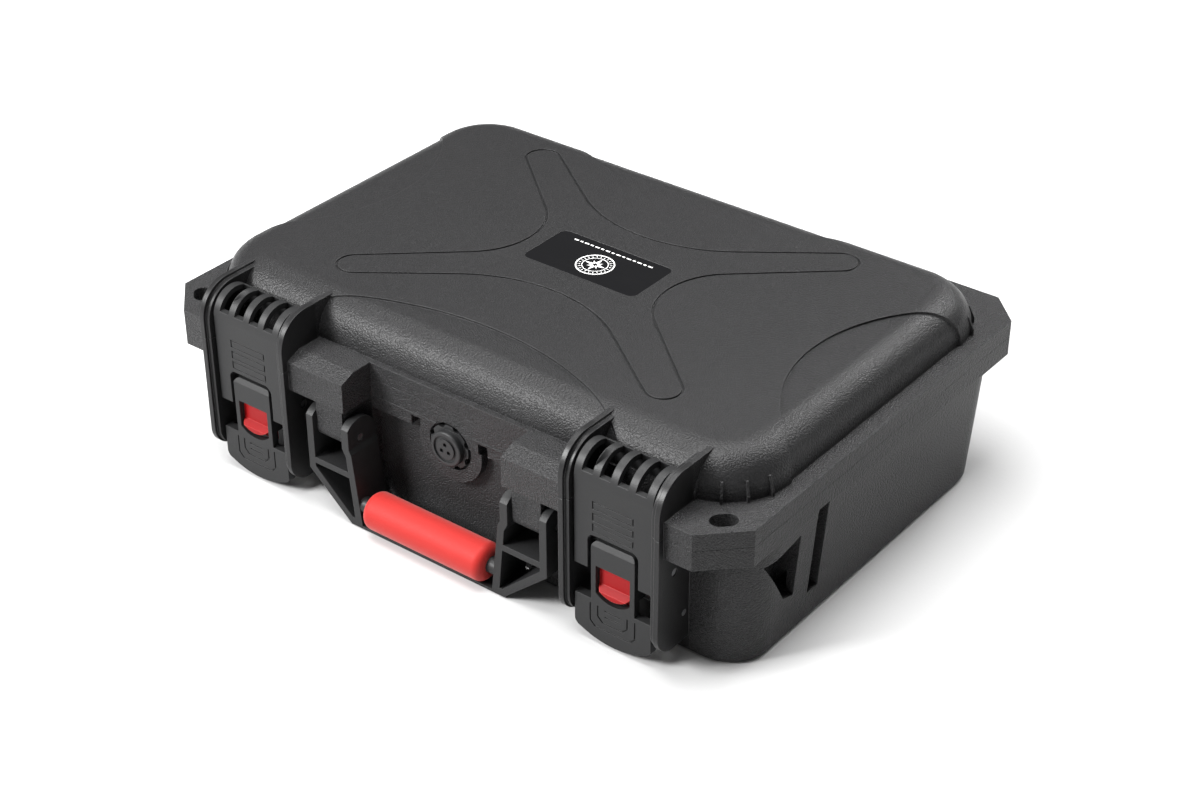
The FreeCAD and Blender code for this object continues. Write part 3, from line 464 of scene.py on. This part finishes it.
def badge_emblem(material):
    """A plain compass rose and a row of dashes, printed on the badge."""
    bm = bmesh.new()
    compass_rose(bm, Vector((BADGE_CENTRE.x, BADGE_CENTRE.y + ROSE_SHIFT_Y)))
    dash_row(bm)
    mesh = bpy.data.meshes.new("badge_emblem")
    bmesh.ops.recalc_face_normals(bm, faces=bm.faces)
    bm.to_mesh(mesh)
    bm.free()
    piece("badge_emblem", mesh, material, "lid")


# ---------------------------------------------------------------- foam

def soft_copy(node, name, voxel):
    """A CAD foam solid remeshed and relaxed, so that its cut edges are soft."""
    mesh = frame["nodes"][node].data.copy()
    mesh.materials.clear()
    made = bpy.data.objects.new(name, mesh)
    bpy.context.scene.collection.objects.link(made)
    remesh = made.modifiers.new("remesh", "REMESH")
    remesh.mode = "VOXEL"
    remesh.voxel_size = voxel
    relax = made.modifiers.new("relax", "SMOOTH")
    relax.factor = 0.5
    relax.iterations = 3
    apply_modifiers(made)
    smooth(made.data)
    return made


def foam_piece(made, material, body, node):
    """Puts a finished foam piece on its body, in place of its CAD node."""
    made.data.materials.clear()
    made.data.materials.append(material)
    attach(made, body)
    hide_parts(node)


def base_foam(material):
    """The block with the pockets, and the flat sheet below it."""
    foam_piece(soft_copy("foam_base", "foam_insert", voxel=2.2 * MM), material, "base", "foam_base")
    foam_piece(soft_copy("foam_pad", "foam_sheet", voxel=2.0 * MM), material, "base", "foam_pad")


def lid_foam(material):
    """The lid's convoluted sheet: rows of soft peaks that point down at the load."""
    made = soft_copy("foam_lid", "foam_convoluted", voxel=2.0 * MM)
    low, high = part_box("foam_lid")
    pitch = 22.0 * MM
    depth = 9.0 * MM
    border = 8 * MM
    face_z = low.z + 4 * MM
    for vertex in made.data.vertices:
        co = vertex.co
        inside = min(co.x - low.x, high.x - co.x, co.y - low.y, high.y - co.y)
        if co.z < face_z:
            wave = math.cos(2 * math.pi * co.x / pitch) * math.cos(2 * math.pi * co.y / pitch)
            co.z += depth * (0.5 - 0.5 * wave) * min(1.0, max(0.0, inside / border))
    foam_piece(made, material, "lid", "foam_lid")


# ---------------------------------------------------------------- stage

def floor():
    """A wide sheet of pale paper under the case."""
    mesh = bpy.data.meshes.new("floor")
    signs = [(-1, -1), (1, -1), (1, 1), (-1, 1)]
    corners = [(x * FLOOR_HALF, y * FLOOR_HALF, FLOOR_Z) for x, y in signs]
    mesh.from_pydata(corners, [], [(0, 1, 2, 3)])
    made = bpy.data.objects.new("floor", mesh)
    bpy.context.scene.collection.objects.link(made)
    paint = Paint("floor_paper")
    tone = paint.mix(paint.noise(3.0), rgba(0.50, 0.50, 0.50), rgba(0.52, 0.52, 0.52))
    made.data.materials.append(paint.finish(tone, 0.9, paint.bump(paint.noise(400.0), 0.05 * MM, None)))


def softbox(name, place, width, height, power):
    """A rectangular light that faces the case."""
    light = bpy.data.lights.new(name, "AREA")
    light.shape = "RECTANGLE"
    light.size = width
    light.size_y = height
    light.energy = power
    made = bpy.data.objects.new(name, light)
    made.location = place
    made.rotation_mode = "QUATERNION"
    made.rotation_quaternion = (Vector(LIGHT_AIM) - Vector(place)).to_track_quat("-Z", "Y")
    bpy.context.scene.collection.objects.link(made)


def lights():
    """A dim white sky and the softboxes."""
    world = bpy.data.worlds.new("studio")
    world.use_nodes = True
    background = world.node_tree.nodes["Background"]
    background.inputs["Color"].default_value = rgba(1.0, 1.0, 1.0)
    background.inputs["Strength"].default_value = SKY_STRENGTH
    bpy.context.scene.world = world
    for box in SOFTBOXES:
        softbox(*box)
    bpy.context.scene.view_settings.view_transform = "Standard"


def camera():
    """The view from above the case's front right corner."""
    data = bpy.data.cameras.new("camera")
    data.lens = CAMERA_LENS
    data.sensor_width = CAMERA_SENSOR
    data.sensor_fit = "HORIZONTAL"
    made = bpy.data.objects.new("camera", data)
    a = math.radians(CAMERA_AZIMUTH)
    e = math.radians(CAMERA_ELEVATION)
    back = Vector((math.sin(a) * math.cos(e), -math.cos(a) * math.cos(e), math.sin(e)))
    made.location = CAMERA_AIM + back * CAMERA_DISTANCE
    made.rotation_mode = "QUATERNION"
    made.rotation_quaternion = (-back).to_track_quat("-Z", "Y")
    bpy.context.scene.collection.objects.link(made)
    bpy.context.scene.camera = made


# ---------------------------------------------------------------- everything

def paint_nodes():
    """Gives each CAD node the material of its slot, and returns the materials by slot."""
    satin = rgba(0.0130, 0.0131, 0.0135)
    valve_black = rgba(0.016, 0.0162, 0.0168)
    finishes = {
        "shell": shell_plastic(),
        "latch": moulded("latch_plastic", satin, 0.44, 1500.0, 0.035 * MM),
        "handle": moulded("handle_plastic", satin, 0.47, 1300.0, 0.05 * MM),
        "valve": moulded("valve_plastic", valve_black, 0.42, 1500.0, 0.03 * MM, edge=0.3 * MM),
        "grip": grip_rubber(),
        "button": button_plastic(),
        "pin": pin_steel("pin_steel", rgba(0.30, 0.30, 0.31), 0.42),
        "spring": pin_steel("spring_wire", rgba(0.50, 0.50, 0.51), 0.30),
        "rubber": seal_rubber(),
        "label": badge_print("badge_black", rgba(0.005, 0.005, 0.0055), 0.35),
        "foam": foam_cells("foam_cells", rgba(0.030, 0.031, 0.033)),
    }
    slots = {part["node"]: part["material_slot"] for part in frame["record"]["subparts"]}
    for name, node in frame["nodes"].items():
        node.data.materials.clear()
        node.data.materials.append(finishes[slots[name]])
    return finishes


camera()
lights()
floor()
finishes = paint_nodes()
badge_emblem(badge_print("badge_white", rgba(0.78, 0.78, 0.77), 0.42))
base_foam(finishes["foam"])
lid_foam(finishes["foam"])
